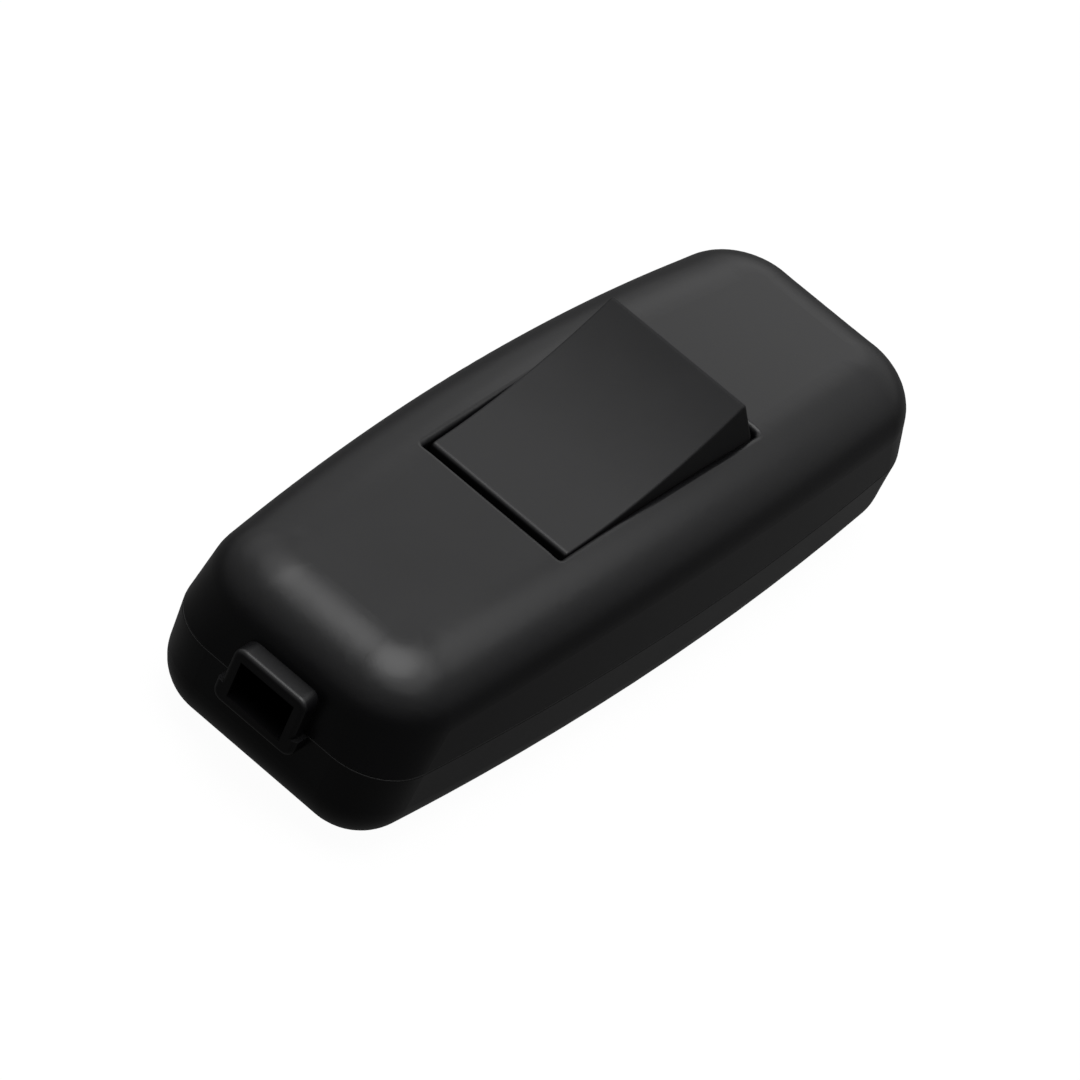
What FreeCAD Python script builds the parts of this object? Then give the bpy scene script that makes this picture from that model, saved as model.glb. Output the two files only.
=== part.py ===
import FreeCAD, Part
import math
import os

V = FreeCAD.Vector

# Inline cord switch: a two-part moulded housing for a flat flex, with a rocker in its arched top.
# Millimetres. X runs along the cord, Z is up, and the flat underside rests on Z = 0.
# The part is drawn switched on: the rocker's -X end is pressed in and its +X end stands up.

# Housing, outside
housing_length = 66.0
housing_width = 24.4
end_width = 21.1
housing_height = 17.25
parting_height = 8.1
arch_drop = 2.05
corner_radius = 5.0
top_corner_growth = 4.4
top_edge_reach = 6.0
top_edge_drop = 4.6
bottom_edge_radius = 4.6
top_draft = 0.09
base_draft = 0.047
seam_radius = 0.12

# Housing, inside
wall = 1.8
lip_height = 1.0
lip_clearance = 0.1
rib_thickness = 1.2
boss_radius = 2.3
boss_gap = 0.3

# Cord entries: a raised collar at each end for a flat two-core flex, which a bar clamps
entry_width = 5.0
entry_height = 3.4
entry_above_parting = 2.6
collar_reach = 1.4
collar_rim = 0.9
lower_collar_step = 0.4
collar_round = 0.4
flex_thickness = 3.0
clamp_width = 3.6
clamp_thickness = 1.2
clamp_screw_gap = 1.7
clamp_rib_radius = 0.5
clamp_corner = 1.2

# Rocker and its opening
opening_length = 24.02
opening_width = 13.2
opening_corner = 0.3
opening_round = 0.45
pivot_depth = 3.7
rocker_throw = 15.5
rocker_end_clearance = 0.2
rocker_side_clearance = 0.1
crest_length = 19.5
crest_height = 5.9
dish_depth = 1.1
skirt_height = 0.25
skirt_depth = 0.8
rocker_wall = 1.3
rocker_round = 0.4
rocker_side_round = 0.2
trunnion_radius = 1.5
trunnion_length = 1.5
trunnion_clearance = 0.06
trunnion_lobe = 1.3
cheek_thickness = 1.7
cheek_length = 9.0
cheek_below_pivot = 2.6

# Snap action: a sprung plunger in the rocker rides over a see-saw contact
tube_wall = 0.75
tube_depth = 4.0
plunger_radius = 1.8
plunger_reach = 7.0
plunger_length = 5.8
plunger_stem_radius = 0.85
plunger_stem_length = 1.6
plunger_clearance = 0.05
plunger_gap = 0.1
spring_wire = 0.4
spring_turns = 4.5
spring_fit = 0.15
spring_clearance = 0.04
seesaw_angle = 12.0
seesaw_width = 5.0
seesaw_reach = 5.2
seesaw_thickness = 0.6
lug_radius = 0.5
lug_clearance = 0.05
lug_overhang = 0.2
stop_gap = 0.08

# Contacts and terminals
strip_thickness = 0.8
strip_leg = 1.6
ear_clearance = 0.2
ear_length = 4.0
ear_above_pivot = 1.0
tip_radius = 0.9
tip_height = 0.5
tip_inset = 0.8
tip_margin = 0.2
contact_gap = 0.06
creepage = 1.5
block_length = 4.0
block_width = 3.6
block_height = 5.2
block_gap = 0.9
link_thickness = 1.8
wire_bore_radius = 1.0
wire_bore_height = 2.1

# Screws
screw_clearance = 0.05
slot_width = 0.6
slot_depth = 0.5
terminal_screw_radius = 1.2
terminal_head_radius = 1.7
terminal_head_height = 1.2
terminal_screw_reach = 0.4
clamp_screw_radius = 1.1
clamp_head_radius = 1.75
clamp_head_height = 1.0
clamp_screw_length = 6.0
housing_screw_radius = 1.3
housing_head_radius = 2.4
housing_head_height = 1.6
housing_screw_length = 10.0
screw_inset = 1.2
head_recess = 1.0
head_clearance = 0.2

# Heights that follow
pivot_z = housing_height - pivot_depth
seesaw_cosine = math.cos(math.radians(seesaw_angle))
nose_z = pivot_z - plunger_reach + plunger_radius
seesaw_z = nose_z - (plunger_radius + plunger_gap + seesaw_thickness / 2) / seesaw_cosine
strip_top = seesaw_z - seesaw_thickness / 2 - 2 * tip_height - contact_gap
seat_z = strip_top - strip_thickness
block_top = strip_top + block_height
wire_z = strip_top + wire_bore_height
entry_top = parting_height + entry_above_parting
entry_bottom = entry_top - entry_height
flex_z = (entry_top + entry_bottom) / 2
clamp_z = flex_z + flex_thickness / 2
saddle_z = flex_z - flex_thickness / 2
head_z = head_recess + housing_head_height

# Places along and across that follow
side_sag = (housing_width - end_width) / 2
side_radius = ((housing_length / 2) ** 2 + side_sag ** 2) / (2 * side_sag)
arch_radius = ((housing_length / 2) ** 2 + arch_drop ** 2) / (2 * arch_drop)
rocker_width = opening_width - 2 * rocker_side_clearance
rocker_radius = opening_length / 2 - rocker_end_clearance
dish_radius = ((crest_length / 2) ** 2 + dish_depth ** 2) / (2 * dish_depth)
dish_z = crest_height - dish_depth
bore_radius = plunger_radius + plunger_clearance
tip_x = seesaw_reach - tip_inset
ear_inner = seesaw_width / 2 + ear_clearance
ear_outer = ear_inner + strip_thickness
terminal_x = opening_length / 2 + block_gap + block_length / 2
terminal_y = ear_outer + creepage + block_width / 2
terminal_end = terminal_x + block_length / 2
terminal_side = terminal_y + block_width / 2
screw_pad_radius = housing_head_radius + head_clearance + rib_thickness
housing_screw_x = terminal_end + boss_gap + screw_pad_radius
housing_screw_y = housing_width / 2 - wall - boss_radius - screw_inset
clamp_x = housing_screw_x + boss_radius + boss_gap + clamp_width / 2
clamp_screw_y = entry_width / 2 + clamp_screw_radius + clamp_screw_gap

housing_screw_places = [(-housing_screw_x, -housing_screw_y), (housing_screw_x, housing_screw_y)]
clamp_screw_places = [(sx * clamp_x, sy * clamp_screw_y) for sx in (-1, 1) for sy in (-1, 1)]
terminal_places = [(sx * terminal_x, sy * terminal_y) for sx in (-1, 1) for sy in (-1, 1)]


def box(x0, x1, y0, y1, z0, z1):
    return Part.makeBox(x1 - x0, y1 - y0, z1 - z0, V(x0, y0, z0))


def upright(x, y, z0, z1, radius):
    return Part.makeCylinder(radius, z1 - z0, V(x, y, z0))


def crosswise(x, z, y0, y1, radius):
    return Part.makeCylinder(radius, y1 - y0, V(x, y0, z), V(0, 1, 0))


def line(a, b):
    return Part.LineSegment(a, b).toShape()


def arc(a, b, c):
    return Part.Arc(a, b, c).toShape()


def fused(first, others):
    return first.fuse(others).removeSplitter()


def mirrored_x(shape):
    return shape.mirror(V(0, 0, 0), V(1, 0, 0))


def mirrored_y(shape):
    return shape.mirror(V(0, 0, 0), V(0, 1, 0))


def edges_where(shape, test):
    return [edge for edge in shape.Edges if test(edge.BoundBox)]


def lies_at(z):
    return lambda bounds: abs(bounds.ZMin - z) < 0.001 and abs(bounds.ZMax - z) < 0.001


def plan_wire(inset, z, growth=0):
    # Plan outline: bowed sides, straight ends and round corners, each tangent to the next.
    # Growth makes the corners rounder without moving the sides or ends.
    half_length = housing_length / 2 - inset
    half_width = housing_width / 2 - inset
    radius = corner_radius + growth - inset
    bow = side_radius - inset
    bow_y = housing_width / 2 - side_radius
    corner_x = half_length - radius
    corner_y = bow_y + math.sqrt((bow - radius) ** 2 - corner_x ** 2)
    outward = V(corner_x, corner_y - bow_y, 0).normalize()
    middle = (outward + V(1, 0, 0)).normalize()
    bend_x = corner_x + radius * middle.x
    bend_y = corner_y + radius * middle.y
    side_x = bow * outward.x
    side_y = bow_y + bow * outward.y

    def corner(sx, sy, leaving_end):
        ends = [V(sx * half_length, sy * corner_y, z), V(sx * side_x, sy * side_y, z)]
        if not leaving_end:
            ends.reverse()
        return arc(ends[0], V(sx * bend_x, sy * bend_y, z), ends[1])

    return Part.Wire([
        line(V(half_length, -corner_y, z), V(half_length, corner_y, z)),
        corner(1, 1, True),
        arc(V(side_x, side_y, z), V(0, half_width, z), V(-side_x, side_y, z)),
        corner(-1, 1, False),
        line(V(-half_length, corner_y, z), V(-half_length, -corner_y, z)),
        corner(-1, -1, True),
        arc(V(-side_x, -side_y, z), V(0, -half_width, z), V(side_x, -side_y, z)),
        corner(1, -1, False),
    ])


def plan_ring(outer_inset, inner_inset, z0, z1):
    wires = [plan_wire(inset, z0) for inset in (outer_inset, inner_inset)]
    outer, inner = [Part.Face(wire).extrude(V(0, 0, z1 - z0)) for wire in wires]
    return outer.cut(inner)


def arch_form(skin):
    # Everything below the top's lengthwise arch
    reach = housing_length / 2
    crown = housing_height - skin
    radius = arch_radius - skin
    shoulder = housing_height - arch_radius + math.sqrt(radius ** 2 - reach ** 2)
    outline = Part.Wire([
        arc(V(-reach, 0, shoulder), V(0, 0, crown), V(reach, 0, shoulder)),
        line(V(reach, 0, shoulder), V(reach, 0, 0)),
        line(V(reach, 0, 0), V(-reach, 0, 0)),
        line(V(-reach, 0, 0), V(-reach, 0, shoulder)),
    ])
    form = Part.Face(outline).extrude(V(0, 2 * housing_width, 0))
    form.translate(V(0, -housing_width, 0))
    return form


def drafted_form(skin, draft, z0, z1, growth=0):
    # Housing sides between two heights, leaning in away from the parting; skin is the depth below the outside
    wires = []
    for z in (z0, z1):
        inset = skin + draft * abs(z - parting_height)
        wires.append(plan_wire(inset, z, growth if z == z1 else 0))
    return Part.makeLoft(wires, True, True)


def stretched(shape, factor):
    # The same shape with every height above the parting times this factor
    matrix = FreeCAD.Matrix()
    matrix.move(V(0, 0, -parting_height))
    matrix.scale(V(1, 1, factor))
    matrix.move(V(0, 0, parting_height))
    return shape.transformGeometry(matrix)


def upper_form(skin):
    # The top's edge rolls off in an ellipse, further across than down
    reach = top_edge_reach - skin
    factor = reach / (top_edge_drop - skin)
    form = drafted_form(skin, top_draft, parting_height, housing_height + wall, top_corner_growth)
    form = form.common(arch_form(skin))
    form = stretched(form, factor)
    top = max(form.Faces, key=lambda face: face.CenterOfMass.z)
    form = form.makeFillet(reach, top.Edges)
    return stretched(form, 1 / factor)


def lower_form(skin):
    form = drafted_form(skin, base_draft, skin, parting_height)
    return form.makeFillet(max(bottom_edge_radius - skin, skin / 2), edges_where(form, lies_at(skin)))


def eased_seam(form):
    # A hairline groove shows where the two halves of the housing meet
    return form.makeFillet(seam_radius, edges_where(form, lies_at(parting_height)))


def collar(step, z0, z1, free_z):
    # Half of the raised rim round the +X cord entry, with its two free corners and its front eased
    half = entry_width / 2 + collar_rim + step
    front = housing_length / 2 + collar_reach
    rim = box(housing_length / 2 - wall, front, -half, half, z0, z1)
    rim = rim.makeFillet(collar_rim, [edge for edge in edges_where(rim, lies_at(free_z))
                                      if edge.BoundBox.YLength < 0.001])
    lips = edges_where(rim, lambda b: b.XMin > front - 0.001 and not lies_at(parting_height)(b))
    return rim.makeFillet(collar_round, lips)


def both_ends(shape):
    return [shape, mirrored_x(shape)]


def entry_cuts():
    half = entry_width / 2
    x0 = housing_length / 2 - 2 * wall
    return both_ends(box(x0, housing_length / 2 + 2 * collar_reach, -half, half, entry_bottom, entry_top))


def cheeks():
    # Walls beside the opening, with slots that let the rocker's trunnions in from below
    y0 = opening_width / 2
    y1 = y0 + cheek_thickness
    z0 = pivot_z - cheek_below_pivot
    radius = trunnion_radius + trunnion_clearance
    plate = box(-cheek_length / 2, cheek_length / 2, y0, y1, z0, housing_height)
    plate = plate.cut([crosswise(0, pivot_z, y0, y1, radius), box(-radius, radius, y0, y1, z0, pivot_z)])
    return [plate, mirrored_y(plate)]


def opening_mouth(shell):
    # The edges where the opening breaks through the arched top
    def is_mouth(b):
        x = (b.XMin + b.XMax) / 2
        y = (b.YMin + b.YMax) / 2
        arch_z = housing_height - arch_radius + math.sqrt(arch_radius ** 2 - x ** 2)
        inside = abs(x) < opening_length / 2 + 0.01 and abs(y) < opening_width / 2 + 0.01
        return inside and b.ZMax > arch_z - wall / 2 and b.ZLength < wall / 2

    return edges_where(shell, is_mouth)


def top_shell():
    outside = eased_seam(upper_form(0))
    bosses = [upright(x, y, parting_height, housing_height, boss_radius) for x, y in housing_screw_places]
    hollow = upper_form(wall).cut(cheeks() + bosses)
    opening = box(-opening_length / 2, opening_length / 2, -opening_width / 2, opening_width / 2,
                  parting_height, housing_height + wall)
    opening = opening.makeFillet(opening_corner, edges_where(opening, lambda b: b.ZLength > wall))
    pivot_y = opening_width / 2 + cheek_thickness
    pivot_bore = crosswise(0, pivot_z, -pivot_y, pivot_y, trunnion_radius + trunnion_clearance)
    shell = outside.cut([hollow, opening, pivot_bore])
    shell = shell.makeFillet(opening_round, opening_mouth(shell))
    rim_top = entry_top + collar_rim
    shell = fused(shell, both_ends(collar(0, parting_height, rim_top, rim_top)))
    rebate_top = parting_height + lip_height + lip_clearance
    rebate = plan_ring(wall / 2, 1.25 * wall, parting_height, rebate_top)
    bores = [upright(x, y, 0, head_z + housing_screw_length + screw_clearance,
                     housing_screw_radius + screw_clearance) for x, y in housing_screw_places]
    return shell.cut(entry_cuts() + [rebate] + bores)


def rib(x, half_width, top):
    return box(x - rib_thickness / 2, x + rib_thickness / 2, -half_width, half_width, wall / 2, top)


def base_shell():
    outside = eased_seam(lower_form(0))
    seats = [sx * terminal_x + dx for sx in (-1, 1) for dx in (-block_length / 4, block_length / 4)]
    kept = [rib(x, terminal_side, seat_z) for x in seats + [0, tip_x]]
    kept.append(rib(-tip_x, ear_inner, seesaw_z - seesaw_thickness / 2 - stop_gap))
    for x, y in housing_screw_places:
        kept.append(upright(x, y, 0, head_z + rib_thickness, screw_pad_radius))
        kept.append(upright(x, y, 0, parting_height, boss_radius))
    shell = outside.cut(lower_form(wall).cut(kept))
    rim_low = entry_bottom - collar_rim
    added = both_ends(collar(lower_collar_step, rim_low, parting_height, rim_low))
    lip_top = parting_height + lip_height
    added.append(plan_ring(wall / 2 + lip_clearance, wall, parting_height - lip_height, lip_top))
    added += [rib(sx * clamp_x, clamp_screw_y, saddle_z) for sx in (-1, 1)]
    added += [upright(x, y, wall / 2, clamp_z, clamp_width / 2) for x, y in clamp_screw_places]
    shell = fused(shell, added)
    cuts = entry_cuts()
    for x, y in housing_screw_places:
        cuts.append(upright(x, y, 0, parting_height, housing_screw_radius + screw_clearance))
        cuts.append(upright(x, y, 0, head_z, housing_head_radius + head_clearance))
    tip_z = clamp_z + clamp_thickness - clamp_screw_length - screw_clearance
    for x, y in clamp_screw_places:
        cuts.append(upright(x, y, tip_z, clamp_z, clamp_screw_radius + screw_clearance))
    return shell.cut(cuts)


def on_rocker(shape):
    # From the rocker's own frame, level and centred on its pivot, to its place in the housing
    shape.rotate(V(0, 0, 0), V(0, 1, 0), -rocker_throw)
    shape.translate(V(0, 0, pivot_z))
    return shape


def rocker_section(skin, bottom):
    # Side view: a dished top, sloping ends and a skirt that turns about the pivot
    crest_x = crest_length / 2 - skin
    sweep = dish_radius + skin
    crest_z = dish_z + dish_radius - math.sqrt(sweep ** 2 - crest_x ** 2)
    radius = rocker_radius - skin
    knee = V(math.sqrt(radius ** 2 - skirt_height ** 2), 0, skirt_height)
    foot = V(math.sqrt(radius ** 2 - bottom ** 2), 0, -bottom)
    half = [
        line(V(crest_x, 0, crest_z), knee),
        arc(knee, V(radius, 0, 0), foot),
    ]
    other = [mirrored_x(edge) for edge in reversed(half)]
    top = arc(V(-crest_x, 0, crest_z), V(0, 0, dish_z - skin), V(crest_x, 0, crest_z))
    base = line(foot, V(-foot.x, 0, foot.z))
    return Part.Face(Part.Wire(Part.__sortEdges__([top] + half + [base] + other)))


def rocker():
    half = rocker_width / 2
    inner = half - rocker_wall
    body = rocker_section(0, skirt_depth).extrude(V(0, rocker_width, 0))
    body.translate(V(0, -half, 0))
    body = body.makeFillet(rocker_round, edges_where(body, lambda b: b.ZMin > dish_z and b.YLength > half))
    long_edges = edges_where(body, lambda b: b.ZMax > dish_z and b.YLength < half)
    body = body.makeFillet(rocker_side_round, long_edges)
    hollow = rocker_section(rocker_wall, 2 * skirt_depth).extrude(V(0, 2 * inner, 0))
    hollow.translate(V(0, -inner, 0))
    body = body.cut(hollow)
    added = [upright(0, 0, -tube_depth, dish_z - rocker_wall / 2, bore_radius + tube_wall)]
    for side in (-1, 1):
        y0 = min(side * inner, side * half)
        added.append(crosswise(0, 0, y0, y0 + rocker_wall, trunnion_radius + trunnion_lobe))
        y0 = min(side * inner, side * (half + trunnion_length))
        added.append(crosswise(0, 0, y0, y0 + rocker_wall + trunnion_length, trunnion_radius))
    body = fused(body, added)
    return on_rocker(body.cut(upright(0, 0, -tube_depth, dish_z - rocker_wall, bore_radius)))


def plunger():
    nose = -plunger_reach + plunger_radius
    shoulder = plunger_length - plunger_reach
    body = fused(upright(0, 0, nose, shoulder, plunger_radius), [
        Part.makeSphere(plunger_radius, V(0, 0, nose)),
        upright(0, 0, shoulder, shoulder + plunger_stem_length, plunger_stem_radius),
    ])
    return on_rocker(body)


def rocker_spring():
    coil = bore_radius - spring_fit - spring_wire / 2
    z0 = plunger_length - plunger_reach + spring_clearance + spring_wire / 2
    z1 = dish_z - rocker_wall - spring_clearance - spring_wire / 2
    path = Part.Wire(Part.makeHelix((z1 - z0) / spring_turns, z1 - z0, coil))
    section = Part.Wire(Part.makeCircle(spring_wire / 2, V(coil, 0, 0), V(0, 1, 0)))
    spring = path.makePipeShell([section], True, True)
    spring.translate(V(0, 0, z0))
    return on_rocker(spring)


def contact_rocker():
    # A bent plate on two round lugs: the closed arm lies level, the open one stands up
    half = seesaw_width / 2
    low = seesaw_z - seesaw_thickness / 2
    closed = box(0, seesaw_reach, -half, half, low, low + seesaw_thickness)
    opened = mirrored_x(closed)
    opened.rotate(V(0, 0, seesaw_z), V(0, 1, 0), 2 * seesaw_angle)
    bend = crosswise(0, seesaw_z, -half, half, seesaw_thickness / 2)
    lug = crosswise(0, seesaw_z, ear_inner - strip_thickness, ear_outer + lug_overhang, lug_radius)
    return fused(closed, [opened, bend, lug, mirrored_y(lug)])


def contact_tip(top):
    return upright(tip_x, 0, top - tip_height, top, tip_radius)


def pivot_terminal():
    # Strip from the incoming terminal to two upright ears that the see-saw's lugs sit in
    end = ear_length / 2
    run_y = terminal_y - block_width / 2
    pieces = [
        box(-end - strip_leg, -end, -ear_outer, terminal_side, seat_z, strip_top),
        box(-terminal_end, -end, run_y, terminal_side, seat_z, strip_top),
    ]
    ear_top = seesaw_z + ear_above_pivot
    for y0 in (-ear_outer, ear_inner):
        pieces.append(box(-end, end, y0, y0 + strip_thickness, strip_top, ear_top))
    strip = fused(box(-end, end, -ear_outer, ear_outer, seat_z, strip_top), pieces)
    radius = lug_radius + lug_clearance
    return strip.cut([
        crosswise(0, seesaw_z, -ear_outer, ear_outer, radius),
        box(-radius, radius, -ear_outer, ear_outer, seesaw_z, ear_top),
    ])


def fixed_contact():
    half = tip_radius + tip_margin
    leg = box(tip_x - half, tip_x + half, -half, terminal_side, seat_z, strip_top)
    run = box(tip_x, terminal_end, terminal_y - block_width / 2, terminal_side, seat_z, strip_top)
    return fused(leg, [run])


def terminal_pillar(x, y, bottom):
    # Square pillar with a bore for the wire along X, and a screw down onto it
    half = block_length / 2
    pillar = box(x - half, x + half, y - block_width / 2, y + block_width / 2, bottom, block_top)
    wire = Part.makeCylinder(wire_bore_radius, block_length, V(x - half, y, wire_z), V(1, 0, 0))
    return pillar.cut([wire, upright(x, y, wire_z, block_top, terminal_screw_radius + screw_clearance)])


def neutral_link():
    half = block_width / 2
    inner = terminal_x - block_length / 2
    bar = box(-inner, inner, -terminal_y - half, -terminal_y + half, seat_z, seat_z + link_thickness)
    return fused(bar, [terminal_pillar(sx * terminal_x, -terminal_y, seat_z) for sx in (-1, 1)])


def cord_clamp(side):
    x = side * clamp_x
    half = clamp_screw_y + clamp_head_radius
    top = clamp_z + clamp_thickness
    bar = box(x - clamp_width / 2, x + clamp_width / 2, -half, half, clamp_z, top)
    corners = edges_where(bar, lambda b: b.ZLength > clamp_thickness / 2)
    bar = bar.makeFillet(clamp_corner, corners)
    bar = fused(bar, [crosswise(x, clamp_z, -entry_width / 2, entry_width / 2, clamp_rib_radius)])
    bore = clamp_screw_radius + screw_clearance
    return bar.cut([upright(x, y, clamp_z, top, bore) for y in (-clamp_screw_y, clamp_screw_y)])


def screw(x, y, z, shank_radius, length, head_radius, head_height):
    # Cheese-head screw pointing down, its head standing on height z
    head = upright(x, y, z, z + head_height, head_radius)
    slot = box(x - head_radius, x + head_radius, y - slot_width / 2, y + slot_width / 2,
               z + head_height - slot_depth, z + head_height)
    return fused(head, [upright(x, y, z - length, z, shank_radius)]).cut(slot)


def terminal_screw(x, y):
    length = block_top - wire_z - wire_bore_radius + terminal_screw_reach
    return screw(x, y, block_top, terminal_screw_radius, length, terminal_head_radius, terminal_head_height)


def clamp_screw(x, y):
    z = clamp_z + clamp_thickness
    return screw(x, y, z, clamp_screw_radius, clamp_screw_length, clamp_head_radius, clamp_head_height)


def housing_screw(x, y):
    upside_down = screw(x, y, -head_z, housing_screw_radius, housing_screw_length, housing_head_radius,
                        housing_head_height)
    return upside_down.mirror(V(0, 0, 0), V(0, 0, 1))


def all_parts():
    parts = {
        "top_shell": top_shell(),
        "base_shell": base_shell(),
        "rocker": rocker(),
        "rocker_spring": rocker_spring(),
        "plunger": plunger(),
        "contact_rocker": contact_rocker(),
        "moving_contact_tip": contact_tip(seesaw_z - seesaw_thickness / 2),
        "fixed_contact_tip": contact_tip(strip_top + tip_height),
        "pivot_terminal": pivot_terminal(),
        "fixed_contact": fixed_contact(),
        "live_in_block": terminal_pillar(-terminal_x, terminal_y, strip_top),
        "live_out_block": terminal_pillar(terminal_x, terminal_y, strip_top),
        "neutral_link": neutral_link(),
        "cord_clamp_near": cord_clamp(-1),
        "cord_clamp_far": cord_clamp(1),
    }
    for makers, places, name in (
        (terminal_screw, terminal_places, "terminal_screw"),
        (clamp_screw, clamp_screw_places, "clamp_screw"),
        (housing_screw, housing_screw_places, "housing_screw"),
    ):
        for number, (x, y) in enumerate(places, 1):
            parts[f"{name}_{number}"] = makers(x, y)
    return parts


os.makedirs("parts", exist_ok=True)
for name, shape in all_parts().items():
    shape.exportStep(f"parts/{name}.step")
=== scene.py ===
import math
import bmesh
import bpy
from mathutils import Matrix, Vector


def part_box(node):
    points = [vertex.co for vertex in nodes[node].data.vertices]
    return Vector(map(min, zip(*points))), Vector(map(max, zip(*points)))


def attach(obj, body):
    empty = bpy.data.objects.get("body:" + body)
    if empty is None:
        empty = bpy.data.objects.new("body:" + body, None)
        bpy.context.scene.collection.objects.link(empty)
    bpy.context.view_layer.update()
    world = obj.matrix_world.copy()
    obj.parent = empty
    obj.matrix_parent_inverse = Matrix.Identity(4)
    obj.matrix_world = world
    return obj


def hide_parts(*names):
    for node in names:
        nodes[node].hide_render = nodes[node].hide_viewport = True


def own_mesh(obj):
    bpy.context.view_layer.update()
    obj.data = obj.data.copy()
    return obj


# Inline cord switch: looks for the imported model, in metres, in the model's own frame.
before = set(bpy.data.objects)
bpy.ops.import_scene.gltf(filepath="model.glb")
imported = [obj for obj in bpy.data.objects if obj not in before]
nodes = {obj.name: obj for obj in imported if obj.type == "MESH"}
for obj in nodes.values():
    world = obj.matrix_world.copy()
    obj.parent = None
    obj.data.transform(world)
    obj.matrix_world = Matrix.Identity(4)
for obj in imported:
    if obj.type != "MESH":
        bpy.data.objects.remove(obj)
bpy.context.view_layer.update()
mm = 0.001
plainWhite = (1, 1, 1, 1)
print("loaded", len(nodes), "nodes")


def hexToLinear(code):
    parts = [int(code[i:i + 2], 16) / 255 for i in (1, 3, 5)]
    return tuple(c / 12.92 if c <= 0.04045 else ((c + 0.055) / 1.055) ** 2.4 for c in parts) + (1.0,)


def addNode(tree, kind, settings=None, inputs=None):
    # settings go on the node; an input is a value, a socket to link from, or a list of sockets
    node = tree.nodes.new(kind)
    for key, value in (settings or {}).items():
        setattr(node, key, value)
    for key, value in (inputs or {}).items():
        sources = value if isinstance(value, list) else [value]
        for source in sources:
            if isinstance(source, bpy.types.NodeSocket):
                tree.links.new(source, node.inputs[key])
            else:
                node.inputs[key].default_value = source
    return node


def addObject(name, data):
    thing = bpy.data.objects.new(name, data)
    bpy.context.scene.collection.objects.link(thing)
    return thing


def newMaterial(name):
    material = bpy.data.materials.new(name)
    material.use_nodes = True
    material.node_tree.nodes.clear()
    return material, material.node_tree


def perMm(size):
    # a texture's scale, so that one feature is this many millimetres across
    return 1 / (size * mm)


def towards(azimuth, elevation):
    # a direction from angles in degrees: azimuth 0 is +X, 90 is +Y
    a, e = math.radians(azimuth), math.radians(elevation)
    return Vector((math.cos(a) * math.cos(e), math.sin(a) * math.cos(e), math.sin(e)))


noiseSpread = (0.3, 0.7)     # most of a noise texture's values lie between these

# Black ABS, moulded against a polished tool: a satin skin with a fine, even grain that breaks up
# the light a little, soft patches where the tool is more polished, and a few specks.
housingAbs = {
    "name": "mouldedBlackAbs",
    "dark": "#080809",
    "light": "#0b0b0c",
    "roughness": (0.31, 0.33),
    "ior": 1.53,
    "specular": 0.16,
    "grainSize": 0.2,        # the real grain is about 0.05 mm: drawn coarser, so that it shows
    "grainDepth": 0.003,
    "patchSize": 5.0,
    "speckSize": 1.4,        # from speck to speck
    "speckEdge": (0.04, 0.12),   # where a speck starts to fade and where it ends, in that spacing
    "speckDepth": 0.002,
    "thumbWear": (),
}
# The rocker is the same plastic from a blasted tool, so that fingers grip it: matt, and a little
# polished by the thumb towards the end that is pressed, most on its edge.
# thumbWear: from x and to x in mm, and the roughness added at each
rockerAbs = dict(housingAbs, name="mattBlackAbs", roughness=(0.5, 0.53),
                 thumbWear=((-11.2, -10.5, -0.26, 0.0), (-10.5, 9.0, 0.0, 0.28)))
# Glass-filled nylon of the cord clamps: duller, with the fibres showing as a coarser grain
clampNylon = dict(housingAbs, name="filledBlackNylon", dark="#222224", light="#2c2c2e", specular=0.5,
                  roughness=(0.5, 0.62), grainSize=0.25, grainDepth=0.006)
# Natural acetal of the plunger: waxy white
plungerAcetal = dict(housingAbs, name="naturalAcetal", dark="#dcd9d0", light="#e8e5dc", specular=0.5,
                     roughness=(0.28, 0.36), grainDepth=0.0008)


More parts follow.
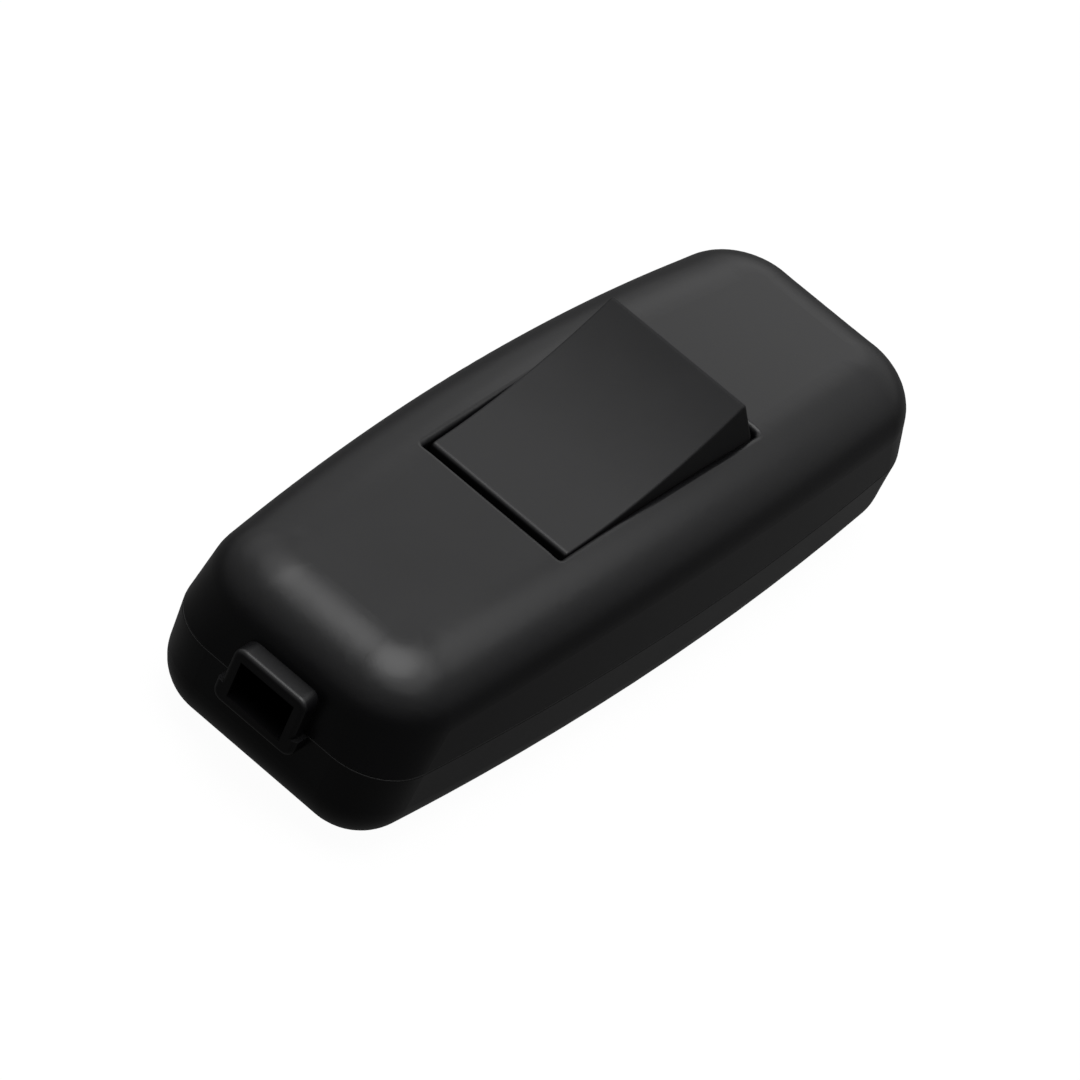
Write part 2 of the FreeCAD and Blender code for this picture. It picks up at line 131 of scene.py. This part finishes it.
def mouldedPlastic(s):
    material, tree = newMaterial(s["name"])
    place = addNode(tree, "ShaderNodeTexCoord").outputs["Object"]
    grain = addNode(tree, "ShaderNodeTexNoise", {}, {
        "Vector": place, "Scale": perMm(s["grainSize"]), "Detail": 2.0, "Roughness": 0.6})
    patch = addNode(tree, "ShaderNodeTexNoise", {}, {
        "Vector": place, "Scale": perMm(s["patchSize"]), "Detail": 3.0, "Roughness": 0.5})
    speck = addNode(tree, "ShaderNodeTexVoronoi", {"feature": "F1"}, {
        "Vector": place, "Scale": perMm(s["speckSize"])})
    speckMask = addNode(tree, "ShaderNodeMapRange", {}, {
        "Value": speck.outputs["Distance"], "From Min": s["speckEdge"][0], "From Max": s["speckEdge"][1],
        "To Min": 1.0, "To Max": 0.0})
    colour = addNode(tree, "ShaderNodeMix", {"data_type": "RGBA"}, {
        "Factor": patch.outputs[0], "A": hexToLinear(s["dark"]), "B": hexToLinear(s["light"])})
    rough = addNode(tree, "ShaderNodeMapRange", {}, {
        "Value": patch.outputs[0], "From Min": noiseSpread[0], "From Max": noiseSpread[1],
        "To Min": s["roughness"][0], "To Max": s["roughness"][1]})
    for start, end, atStart, atEnd in s["thumbWear"]:
        lengthwise = addNode(tree, "ShaderNodeSeparateXYZ", {}, {0: place})
        worn = addNode(tree, "ShaderNodeMapRange", {}, {
            "Value": lengthwise.outputs["X"], "From Min": start * mm, "From Max": end * mm,
            "To Min": atStart, "To Max": atEnd})
        rough = addNode(tree, "ShaderNodeMath", {"operation": "ADD"}, {
            0: rough.outputs[0], 1: worn.outputs[0]})
    speckBump = addNode(tree, "ShaderNodeBump", {}, {
        "Strength": 0.5, "Distance": s["speckDepth"] * mm, "Height": speckMask.outputs[0]})
    bump = addNode(tree, "ShaderNodeBump", {}, {
        "Strength": 1.0, "Distance": s["grainDepth"] * mm, "Height": grain.outputs[0],
        "Normal": speckBump.outputs[0]})
    shader = addNode(tree, "ShaderNodeBsdfPrincipled", {}, {
        "Base Color": colour.outputs["Result"], "Roughness": rough.outputs[0], "IOR": s["ior"],
        "Specular IOR Level": s["specular"], "Normal": bump.outputs[0]})
    addNode(tree, "ShaderNodeOutputMaterial", {}, {"Surface": shader.outputs[0]})
    return material


# Stamped brass: fine lines across the strip from rolling, browned and dulled by handling
stampedBrass = {"name": "stampedBrass", "light": "#9c7c46", "dark": "#74592f", "roughness": (0.48, 0.62),
                "lineSize": (0.08, 4.0, 0.08), "lineDepth": 0.002}
# Silver alloy of the contact tips: soft white metal, slightly dulled by arcs
silverAlloy = {"name": "contactSilver", "light": "#e6e3dc", "dark": "#b9b5ad", "roughness": (0.25, 0.45),
               "lineSize": (0.3, 0.3, 0.3), "lineDepth": 0.003}
# Zinc plate on steel screws: bluish, with cloudy plating and turned rings
zincSteel = {"name": "zincPlatedSteel", "light": "#c4c6ca", "dark": "#94979d", "roughness": (0.22, 0.4),
             "lineSize": (0.5, 0.5, 0.1), "lineDepth": 0.002}
# Drawn spring wire: bright, with lines along the draw
springWire = {"name": "drawnSpringSteel", "light": "#b3b4b8", "dark": "#7d7f85", "roughness": (0.2, 0.32),
              "lineSize": (0.06, 0.6, 0.6), "lineDepth": 0.0015}
cloudSize = 1.6              # mm, the patches of tarnish or plating on all of these metals


def workedMetal(s):
    material, tree = newMaterial(s["name"])
    place = addNode(tree, "ShaderNodeTexCoord").outputs["Object"]
    stretched = addNode(tree, "ShaderNodeMapping", {"vector_type": "POINT"}, {
        "Vector": place, "Scale": tuple(perMm(size) for size in s["lineSize"])})
    lines = addNode(tree, "ShaderNodeTexNoise", {}, {
        "Vector": stretched.outputs[0], "Scale": 1.0, "Detail": 3.0, "Roughness": 0.6})
    cloud = addNode(tree, "ShaderNodeTexNoise", {}, {
        "Vector": place, "Scale": perMm(cloudSize), "Detail": 4.0, "Roughness": 0.55})
    colour = addNode(tree, "ShaderNodeMix", {"data_type": "RGBA"}, {
        "Factor": cloud.outputs[0], "A": hexToLinear(s["dark"]), "B": hexToLinear(s["light"])})
    rough = addNode(tree, "ShaderNodeMapRange", {}, {
        "Value": cloud.outputs[0], "From Min": noiseSpread[0], "From Max": noiseSpread[1],
        "To Min": s["roughness"][0], "To Max": s["roughness"][1]})
    bump = addNode(tree, "ShaderNodeBump", {}, {
        "Strength": 1.0, "Distance": s["lineDepth"] * mm, "Height": lines.outputs[0]})
    shader = addNode(tree, "ShaderNodeBsdfPrincipled", {}, {
        "Base Color": colour.outputs["Result"], "Roughness": rough.outputs[0], "Metallic": 1.0,
        "Normal": bump.outputs[0]})
    addNode(tree, "ShaderNodeOutputMaterial", {}, {"Surface": shader.outputs[0]})
    return material


materialOf = {}
for plastic, names in (
        (housingAbs, ["top_shell", "base_shell"]),
        (rockerAbs, ["rocker"]),
        (plungerAcetal, ["plunger"]),
        (clampNylon, ["cord_clamp_near", "cord_clamp_far"])):
    made = mouldedPlastic(plastic)
    materialOf.update({name: made for name in names})
for metal, names in (
        (stampedBrass, ["pivot_terminal", "fixed_contact", "contact_rocker", "live_in_block",
                        "live_out_block", "neutral_link"]),
        (silverAlloy, ["moving_contact_tip", "fixed_contact_tip"]),
        (zincSteel, [name for name in nodes if "screw" in name]),
        (springWire, ["rocker_spring"])):
    made = workedMetal(metal)
    materialOf.update({name: made for name in names})
for name, piece in nodes.items():
    piece.data.materials.clear()
    piece.data.materials.append(materialOf[name])
print("materials on", len(materialOf), "nodes")

# Cheese-head screws: a turned blank with a cut slot and a rolled thread, sizes in millimetres.
# The thread's crests are at the shank's own radius, so each screw stays in its CAD node's room.
screwShape = {
    "slotWidth": 0.6,
    "slotDepth": 0.5,
    "barReach": 2.4,         # length of the bar that cuts the slot, in head radii
    "edge": 0.22,            # rounding of the head's top edge
    "underEdge": 0.08,
    "point": 0.4,            # length of the tapered end
    "pointInset": 0.3,
    "threadEnd": 0.4,        # bare length at the tip
    "threadShort": 0.7,      # how much shorter the thread is than the shank
    "crispAngle": 35,        # edges sharper than this stay crisp
    "steps": 40,
    "threadSteps": 24,
    "threadSides": 4,
}
screwSets = {
    "terminalScrews": {"node": "terminal_screw_", "count": 4, "headHeight": 1.2, "shankRadius": 1.2,
                       "pitch": 0.45, "threadDepth": 0.2, "headUp": True, "seed": 3},
    "clampScrews": {"node": "clamp_screw_", "count": 4, "headHeight": 1.0, "shankRadius": 1.1,
                    "pitch": 0.8, "threadDepth": 0.28, "headUp": True, "seed": 7},
    "housingScrews": {"node": "housing_screw_", "count": 2, "headHeight": 1.6, "shankRadius": 1.3,
                      "pitch": 0.9, "threadDepth": 0.32, "headUp": False, "seed": 5},
}


def turnedMesh(name, outline, steps):
    # A closed solid turned about Z from (radius, height) points, the first and last on the axis
    shape = bmesh.new()
    turn = 2 * math.pi / steps
    rings = []
    for radius, height in outline:
        corners = [(radius * math.cos(turn * i), radius * math.sin(turn * i), height) for i in range(steps)]
        rings.append([shape.verts.new(corner) for corner in (corners if radius else [(0, 0, height)])])
    for near, far in zip(rings, rings[1:]):
        for i in range(steps):
            j = (i + 1) % steps
            around = [near[i % len(near)], near[j % len(near)], far[j % len(far)], far[i % len(far)]]
            shape.faces.new(list(dict.fromkeys(around)))
    bmesh.ops.recalc_face_normals(shape, faces=shape.faces[:])
    mesh = bpy.data.meshes.new(name)
    shape.to_mesh(mesh)
    shape.free()
    return mesh


def screwTree():
    tree = bpy.data.node_groups.new("cheeseHeadScrews", "GeometryNodeTree")
    face = tree.interface
    face.new_socket("Places", in_out="INPUT", socket_type="NodeSocketGeometry")
    face.new_socket("Blank", in_out="INPUT", socket_type="NodeSocketObject")
    for label in ("Head Radius", "Head Height", "Slot Width", "Slot Depth", "Core Radius", "Shank Length",
                  "Thread Start", "Thread Length", "Thread Depth", "Thread Pitch", "Turn Over"):
        face.new_socket(label, in_out="INPUT", socket_type="NodeSocketFloat")
    face.new_socket("Seed", in_out="INPUT", socket_type="NodeSocketInt")
    face.new_socket("Finish", in_out="INPUT", socket_type="NodeSocketMaterial")
    face.new_socket("Screws", in_out="OUTPUT", socket_type="NodeSocketGeometry")
    given = addNode(tree, "NodeGroupInput").outputs
    blank = addNode(tree, "GeometryNodeObjectInfo", {}, {"Object": given["Blank"]})
    # slot: a bar across the head, twice as deep as the slot and centred on the head's top
    across = addNode(tree, "ShaderNodeMath", {"operation": "MULTIPLY"}, {
        0: given["Head Radius"], 1: screwShape["barReach"]})
    deep = addNode(tree, "ShaderNodeMath", {"operation": "MULTIPLY"}, {0: given["Slot Depth"], 1: 2.0})
    barSize = addNode(tree, "ShaderNodeCombineXYZ", {}, {
        0: across.outputs[0], 1: given["Slot Width"], 2: deep.outputs[0]})
    bar = addNode(tree, "GeometryNodeMeshCube", {}, {"Size": barSize.outputs[0]})
    headTop = addNode(tree, "ShaderNodeCombineXYZ", {}, {2: given["Head Height"]})
    barAtTop = addNode(tree, "GeometryNodeTransform", {}, {
        "Geometry": bar.outputs["Mesh"], "Translation": headTop.outputs[0]})
    slotted = addNode(tree, "GeometryNodeMeshBoolean", {"operation": "DIFFERENCE", "solver": "EXACT"}, {
        "Mesh 1": blank.outputs["Geometry"], "Mesh 2": barAtTop.outputs[0]})
    # thread: a ridge that follows a helix on the core
    turns = addNode(tree, "ShaderNodeMath", {"operation": "DIVIDE"}, {
        0: given["Thread Length"], 1: given["Thread Pitch"]})
    helix = addNode(tree, "GeometryNodeCurveSpiral", {}, {
        "Resolution": screwShape["threadSteps"], "Rotations": turns.outputs[0],
        "Start Radius": given["Core Radius"], "End Radius": given["Core Radius"],
        "Height": given["Thread Length"]})
    ridge = addNode(tree, "GeometryNodeCurvePrimitiveCircle", {}, {
        "Resolution": screwShape["threadSides"], "Radius": given["Thread Depth"]})
    wound = addNode(tree, "GeometryNodeCurveToMesh", {}, {
        "Curve": helix.outputs[0], "Profile Curve": ridge.outputs[0], "Fill Caps": True})
    low = addNode(tree, "ShaderNodeMath", {"operation": "SUBTRACT"}, {
        0: given["Thread Start"], 1: given["Shank Length"]})
    threadPlace = addNode(tree, "ShaderNodeCombineXYZ", {}, {2: low.outputs[0]})
    thread = addNode(tree, "GeometryNodeTransform", {}, {
        "Geometry": wound.outputs[0], "Translation": threadPlace.outputs[0]})
    screw = addNode(tree, "GeometryNodeJoinGeometry", {}, {0: [slotted.outputs[0], thread.outputs[0]]})
    # round faces shade smoothly, and sharp edges stay crisp
    smooth = addNode(tree, "GeometryNodeSetShadeSmooth", {"domain": "FACE"}, {
        "Geometry": screw.outputs[0], "Shade Smooth": True})
    angle = addNode(tree, "GeometryNodeInputMeshEdgeAngle")
    sharp = addNode(tree, "FunctionNodeCompare", {"data_type": "FLOAT", "operation": "GREATER_THAN"}, {
        0: angle.outputs["Unsigned Angle"], 1: math.radians(screwShape["crispAngle"])})
    crisp = addNode(tree, "GeometryNodeSetShadeSmooth", {"domain": "EDGE"}, {
        "Geometry": smooth.outputs[0], "Selection": sharp.outputs[0], "Shade Smooth": False})
    # each screw was driven home at its own angle
    driven = addNode(tree, "FunctionNodeRandomValue", {"data_type": "FLOAT"}, {
        2: 0.0, 3: 2 * math.pi, "Seed": given["Seed"]})
    aim = addNode(tree, "ShaderNodeCombineXYZ", {}, {0: given["Turn Over"], 2: driven.outputs[1]})
    placed = addNode(tree, "GeometryNodeInstanceOnPoints", {}, {
        "Points": given["Places"], "Instance": crisp.outputs[0], "Rotation": aim.outputs[0]})
    whole = addNode(tree, "GeometryNodeRealizeInstances", {}, {"Geometry": placed.outputs[0]})
    finished = addNode(tree, "GeometryNodeSetMaterial", {}, {
        "Geometry": whole.outputs[0], "Material": given["Finish"]})
    addNode(tree, "NodeGroupOutput", {}, {0: finished.outputs[0]})
    return tree


def screwSet(name, s, tree):
    names = [s["node"] + str(i + 1) for i in range(s["count"])]
    boxes = [[corner / mm for corner in map(Vector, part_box(node))] for node in names]
    low, high = boxes[0]
    headRadius = (high.x - low.x) / 2
    headHeight = s["headHeight"]
    core = s["shankRadius"] - s["threadDepth"]
    length = high.z - low.z - headHeight
    edge, under = screwShape["edge"], screwShape["underEdge"]
    outline = [(0, headHeight), (headRadius - edge, headHeight)]
    for a in map(math.radians, (30, 60, 90)):
        outline.append((headRadius - edge + edge * math.sin(a), headHeight - edge + edge * math.cos(a)))
    outline += [(headRadius, under), (headRadius - under, 0), (core, 0), (core, screwShape["point"] - length),
                (core - screwShape["pointInset"], -length), (0, -length)]
    mesh = turnedMesh(name + "Blank", [(r * mm, z * mm) for r, z in outline], screwShape["steps"])
    blank = addObject(name + "Blank", mesh)
    places = []
    for low, high in boxes:
        seat = high.z - headHeight if s["headUp"] else low.z + headHeight
        places.append(((low.x + high.x) / 2 * mm, (low.y + high.y) / 2 * mm, seat * mm))
    holderMesh = bpy.data.meshes.new(name + "Places")
    holderMesh.from_pydata(places, [], [])
    holder = addObject(name + "Places", holderMesh)
    modifier = holder.modifiers.new("screws", "NODES")
    modifier.node_group = tree
    values = {
        "Blank": blank, "Head Radius": headRadius * mm, "Head Height": headHeight * mm,
        "Slot Width": screwShape["slotWidth"] * mm, "Slot Depth": screwShape["slotDepth"] * mm,
        "Core Radius": core * mm, "Shank Length": length * mm,
        "Thread Start": screwShape["threadEnd"] * mm,
        "Thread Length": (length - screwShape["threadShort"]) * mm,
        "Thread Depth": s["threadDepth"] * mm, "Thread Pitch": s["pitch"] * mm,
        "Turn Over": 0.0 if s["headUp"] else math.pi,
        "Seed": s["seed"], "Finish": materialOf[names[0]]}
    for socket in tree.interface.items_tree:
        if socket.name in values:
            modifier[socket.identifier] = values[socket.name]
    evaluated = holder.evaluated_get(bpy.context.evaluated_depsgraph_get())
    finished = bpy.data.meshes.new_from_object(evaluated)
    finished.name = name
    holder.modifiers.clear()
    bpy.data.objects.remove(holder)
    bpy.data.objects.remove(blank)
    piece = addObject(name, finished)
    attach(piece, "housing")
    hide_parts(*names)
    print(name, len(places), "screws,", len(finished.polygons), "faces")


cheeseHeads = screwTree()
for name, settings in screwSets.items():
    screwSet(name, settings, cheeseHeads)

# The plunger's spring: the CAD coil with its seams welded
coilSpring = {
    "node": "rocker_spring",
    "body": "rocker",
    "joint": "plunger_slide",
    "weld": 0.001,
    "axis": (-0.267238, 0, 0.96363),     # the way the plunger slides in
    "travel": 0.8,
}
springMesh = nodes[coilSpring["node"]].data.copy()
springMesh.name = "plungerSpring"
coil = bmesh.new()
coil.from_mesh(springMesh)
bmesh.ops.remove_doubles(coil, verts=coil.verts[:], dist=coilSpring["weld"] * mm)
coil.to_mesh(springMesh)
coil.free()
spring = addObject("plungerSpring", springMesh)
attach(spring, coilSpring["body"])
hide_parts(coilSpring["node"])
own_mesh(spring)

# The photograph's viewing point: a long lens, from above the near end, with a little roll
viewPoint = {
    "place": (-409.283, -168.039, 377.203),
    "turn": (47.2063, -18.9611, -50.896),
    "lens": 266.099,
    "sensor": 36.0,
    "clip": (0.01, 20.0),
}
camera = addObject("camera", bpy.data.cameras.new("camera"))
camera.location = Vector(viewPoint["place"]) * mm
camera.rotation_euler = [math.radians(a) for a in viewPoint["turn"]]
camera.data.lens = viewPoint["lens"]
camera.data.sensor_width = viewPoint["sensor"]
camera.data.clip_start, camera.data.clip_end = viewPoint["clip"]
bpy.context.scene.camera = camera

# Pale floor: lit to white for the camera and through glass, with the switch's faint shadow left in it.
# Gloss sees a small share of that, because the real one's sides mirror a dim table. From below it is clear.
floorLook = {"size": 3.0, "drop": 0.02, "colour": "#303030", "glow": 0.97, "glossShare": 0.085}
half = floorLook["size"] / 2
floorCorners = [(-half, -half, 0), (half, -half, 0), (half, half, 0), (-half, half, 0)]
floorMesh = bpy.data.meshes.new("floor")
floorMesh.from_pydata(floorCorners, [], [(0, 1, 2, 3)])
floor = addObject("floor", floorMesh)
floor.location.z = -floorLook["drop"] * mm
floorMaterial, tree = newMaterial("paleFloor")
rays = addNode(tree, "ShaderNodeLightPath").outputs
mirrored = addNode(tree, "ShaderNodeMath", {"operation": "MULTIPLY"}, {
    0: rays["Is Glossy Ray"], 1: floorLook["glossShare"]})
through = addNode(tree, "ShaderNodeMath", {"operation": "MAXIMUM"}, {
    0: mirrored.outputs[0], 1: rays["Is Transmission Ray"]})
seen = addNode(tree, "ShaderNodeMath", {"operation": "MAXIMUM"}, {
    0: rays["Is Camera Ray"], 1: through.outputs[0]})
level = addNode(tree, "ShaderNodeMath", {"operation": "MULTIPLY"}, {
    0: seen.outputs[0], 1: floorLook["glow"]})
matt = addNode(tree, "ShaderNodeBsdfDiffuse", {}, {"Color": hexToLinear(floorLook["colour"])})
glow = addNode(tree, "ShaderNodeEmission", {}, {"Color": plainWhite, "Strength": level.outputs[0]})
both = addNode(tree, "ShaderNodeAddShader", {}, {0: matt.outputs[0], 1: glow.outputs[0]})
below = addNode(tree, "ShaderNodeNewGeometry").outputs["Backfacing"]
clear = addNode(tree, "ShaderNodeBsdfTransparent")
oneSided = addNode(tree, "ShaderNodeMixShader", {}, {0: below, 1: both.outputs[0], 2: clear.outputs[0]})
addNode(tree, "ShaderNodeOutputMaterial", {}, {"Surface": oneSided.outputs[0]})
floorMesh.materials.append(floorMaterial)

# World: white where the camera or glass looks at it. Gloss sees that white overhead and behind the
# switch, fading to a dim room low down and on the camera's side. All else gets a weak, even fill.
room = {"fill": 0.05, "backAzimuth": 42, "backElevation": 75, "level": 0.17, "slope": 1.35}
world = bpy.data.worlds.new("studio")
bpy.context.scene.world = world
world.use_nodes = True
tree = world.node_tree
tree.nodes.clear()
rays = addNode(tree, "ShaderNodeLightPath").outputs
direction = addNode(tree, "ShaderNodeTexCoord").outputs["Generated"]
facing = addNode(tree, "ShaderNodeVectorMath", {"operation": "DOT_PRODUCT"}, {
    0: direction, 1: towards(room["backAzimuth"], room["backElevation"])})
paleness = addNode(tree, "ShaderNodeMath", {"operation": "MULTIPLY_ADD", "use_clamp": True}, {
    0: facing.outputs["Value"], 1: room["slope"], 2: room["level"]})
mirrored = addNode(tree, "ShaderNodeMath", {"operation": "MULTIPLY"}, {
    0: rays["Is Glossy Ray"], 1: paleness.outputs[0]})
glossSeen = addNode(tree, "ShaderNodeMath", {"operation": "MAXIMUM"}, {
    0: rays["Is Camera Ray"], 1: mirrored.outputs[0]})
anySeen = addNode(tree, "ShaderNodeMath", {"operation": "MAXIMUM"}, {
    0: glossSeen.outputs[0], 1: rays["Is Transmission Ray"]})
soft = addNode(tree, "ShaderNodeBackground", {}, {"Color": plainWhite, "Strength": room["fill"]})
white = addNode(tree, "ShaderNodeBackground", {}, {"Color": plainWhite, "Strength": 1.0})
mixed = addNode(tree, "ShaderNodeMixShader", {}, {
    0: anySeen.outputs[0], 1: soft.outputs[0], 2: white.outputs[0]})
addNode(tree, "ShaderNodeOutputWorld", {}, {"Surface": mixed.outputs[0]})

# Soft boxes: azimuth and elevation of each from the object, its distance, width and length in metres,
# its turn about its own axis in degrees, and its radiance
softBoxes = {
    "overhead": {"azimuth": 0, "elevation": 90, "distance": 0.75, "size": (0.8, 1.3), "turn": 5,
                 "radiance": 2.4},
    "overheadCore": {"azimuth": 60, "elevation": 88, "distance": 0.7, "size": (0.48, 0.48), "turn": 0,
                     "radiance": 6.5},
    "back": {"azimuth": 25, "elevation": 32, "distance": 0.8, "size": (0.5, 0.6), "turn": 0,
             "radiance": 0.8},
    "right": {"azimuth": -30, "elevation": 54, "distance": 0.8, "size": (0.5, 0.4), "turn": 0,
              "radiance": 1.9},
    "left": {"azimuth": 75, "elevation": 40, "distance": 0.8, "size": (0.5, 0.5), "turn": 0,
             "radiance": 1.2},
}
aimPoint = Vector((0, 0, 9 * mm))    # about half the housing's height
for name, box in softBoxes.items():
    width, length = box["size"]
    aim = towards(box["azimuth"], box["elevation"])
    light = bpy.data.lights.new(name, "AREA")
    light.shape = "ELLIPSE"
    light.size, light.size_y = width, length
    light.energy = box["radiance"] * math.pi * math.pi / 4 * width * length
    lamp = addObject(name, light)
    lamp.location = aimPoint + aim * box["distance"]
    lamp.rotation_euler = aim.to_track_quat("Z", "Y").to_euler()
    if box["turn"]:
        lamp.rotation_euler.rotate_axis("Z", math.radians(box["turn"]))
bpy.context.scene.view_settings.view_transform = "Standard"
print("camera, floor and", len(softBoxes), "lamps set")
